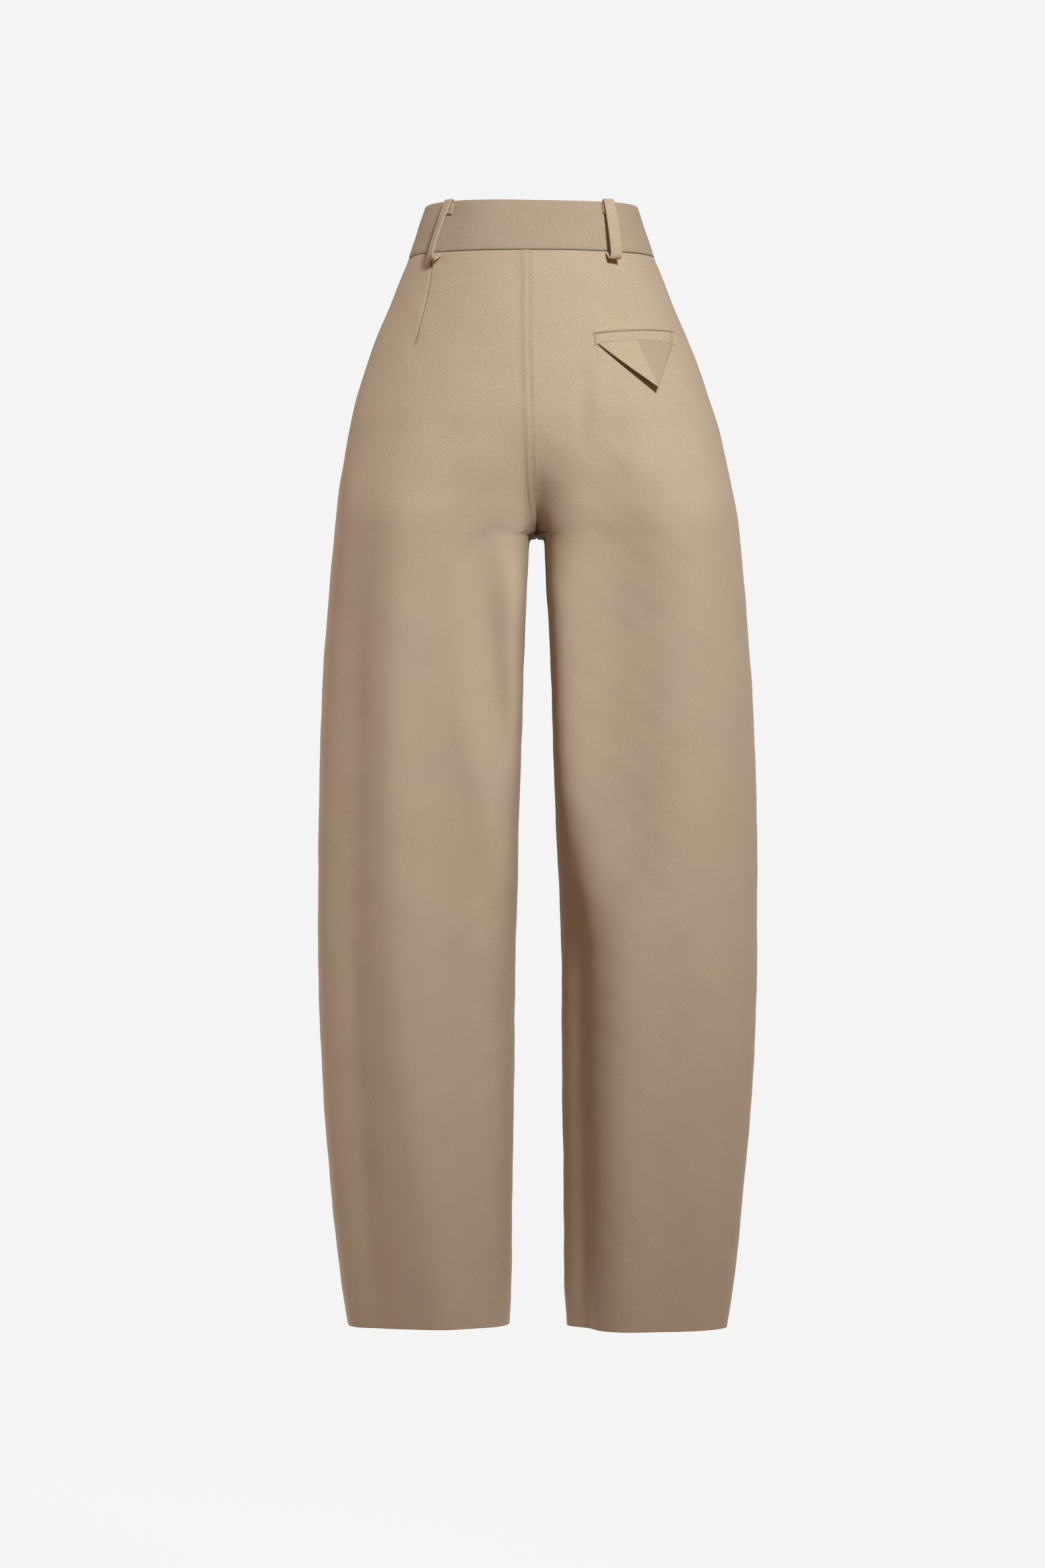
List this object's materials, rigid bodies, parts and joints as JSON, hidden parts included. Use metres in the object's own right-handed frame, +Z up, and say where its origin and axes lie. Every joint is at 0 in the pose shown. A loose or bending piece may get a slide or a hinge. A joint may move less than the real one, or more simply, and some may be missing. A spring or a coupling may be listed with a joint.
{
  "type": "barrel leg trousers",
  "caption": "High-waisted barrel leg trousers, hollow and filled out as worn, with belt loops, back darts and a pointed-flap welt pocket.",
  "frame": {"origin": "the middle of the waistband, on the middle line between its front and back, where the waist holds the garment", "axes": "+Z up along the garment's length, the wearer faces -Y so the seat is on +Y, and +X is the wearer's left"},
  "size_m": [0.4343, 0.2387, 1.106],
  "materials": {
    "khaki_twill": "soft brushed twill with a slight sheen",
    "horn_button": "plain polished horn-like button",
    "zip_tape": "woven zip tape with closed teeth",
    "zip_metal": "plain plated zip slider"
  },
  "bodies": {
    "root": {"waistband": "khaki_twill", "back_left": "khaki_twill", "back_right": "khaki_twill", "front_left": "khaki_twill", "front_right": "khaki_twill", "loop_back_left": "khaki_twill", "loop_back_right": "khaki_twill", "loop_front_left": "khaki_twill", "loop_front_right": "khaki_twill", "pocket_welt": "khaki_twill", "pocket_flap": "khaki_twill", "waist_button": "horn_button", "fly_zip": "zip_tape", "zip_slider": "zip_metal"}
  },
  "joints": []
}
